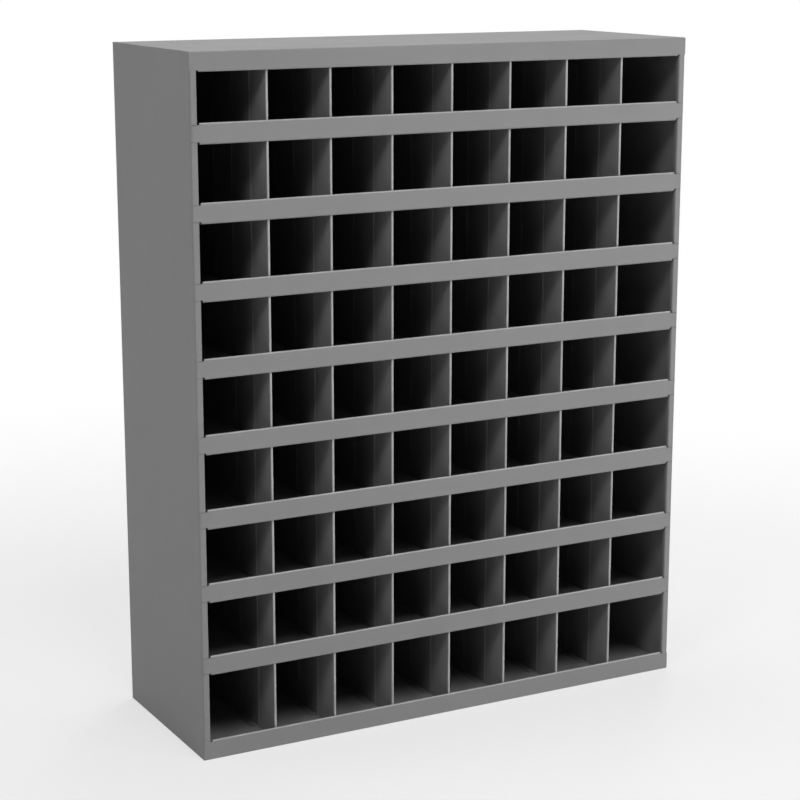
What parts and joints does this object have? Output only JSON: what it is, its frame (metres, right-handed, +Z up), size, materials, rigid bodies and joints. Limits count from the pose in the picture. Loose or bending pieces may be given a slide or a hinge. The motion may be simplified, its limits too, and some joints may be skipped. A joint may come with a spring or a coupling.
{
  "type": "pigeonhole bin unit",
  "caption": "Open-fronted sheet-steel pigeonhole cabinet with folded side panels, hemmed shelf lips and upright dividers that form rows of equal bins for sorting mail, forms or parts.",
  "frame": {"origin": "centre of the footprint, on the floor", "axes": "+Z up, the open front faces -Y, +X to the right seen from the front"},
  "size_m": [0.8572, 0.3048, 1.0668],
  "materials": {
    "shell_enamel": "satin grey enamel",
    "shelf_enamel": "satin grey enamel",
    "divider_enamel": "satin grey enamel"
  },
  "bodies": {
    "root": {"left_side_panel": "shell_enamel", "right_side_panel": "shell_enamel", "top_panel": "shell_enamel", "bottom_shelf": "shell_enamel", "back_panel": "shell_enamel", "shelf_1": "shelf_enamel", "shelf_2": "shelf_enamel", "shelf_3": "shelf_enamel", "shelf_4": "shelf_enamel", "shelf_5": "shelf_enamel", "shelf_6": "shelf_enamel", "shelf_7": "shelf_enamel", "shelf_8": "shelf_enamel", "dividers_row_1": "divider_enamel", "dividers_row_2": "divider_enamel", "dividers_row_3": "divider_enamel", "dividers_row_4": "divider_enamel", "dividers_row_5": "divider_enamel", "dividers_row_6": "divider_enamel", "dividers_row_7": "divider_enamel", "dividers_row_8": "divider_enamel", "dividers_row_9": "divider_enamel"}
  },
  "joints": []
}
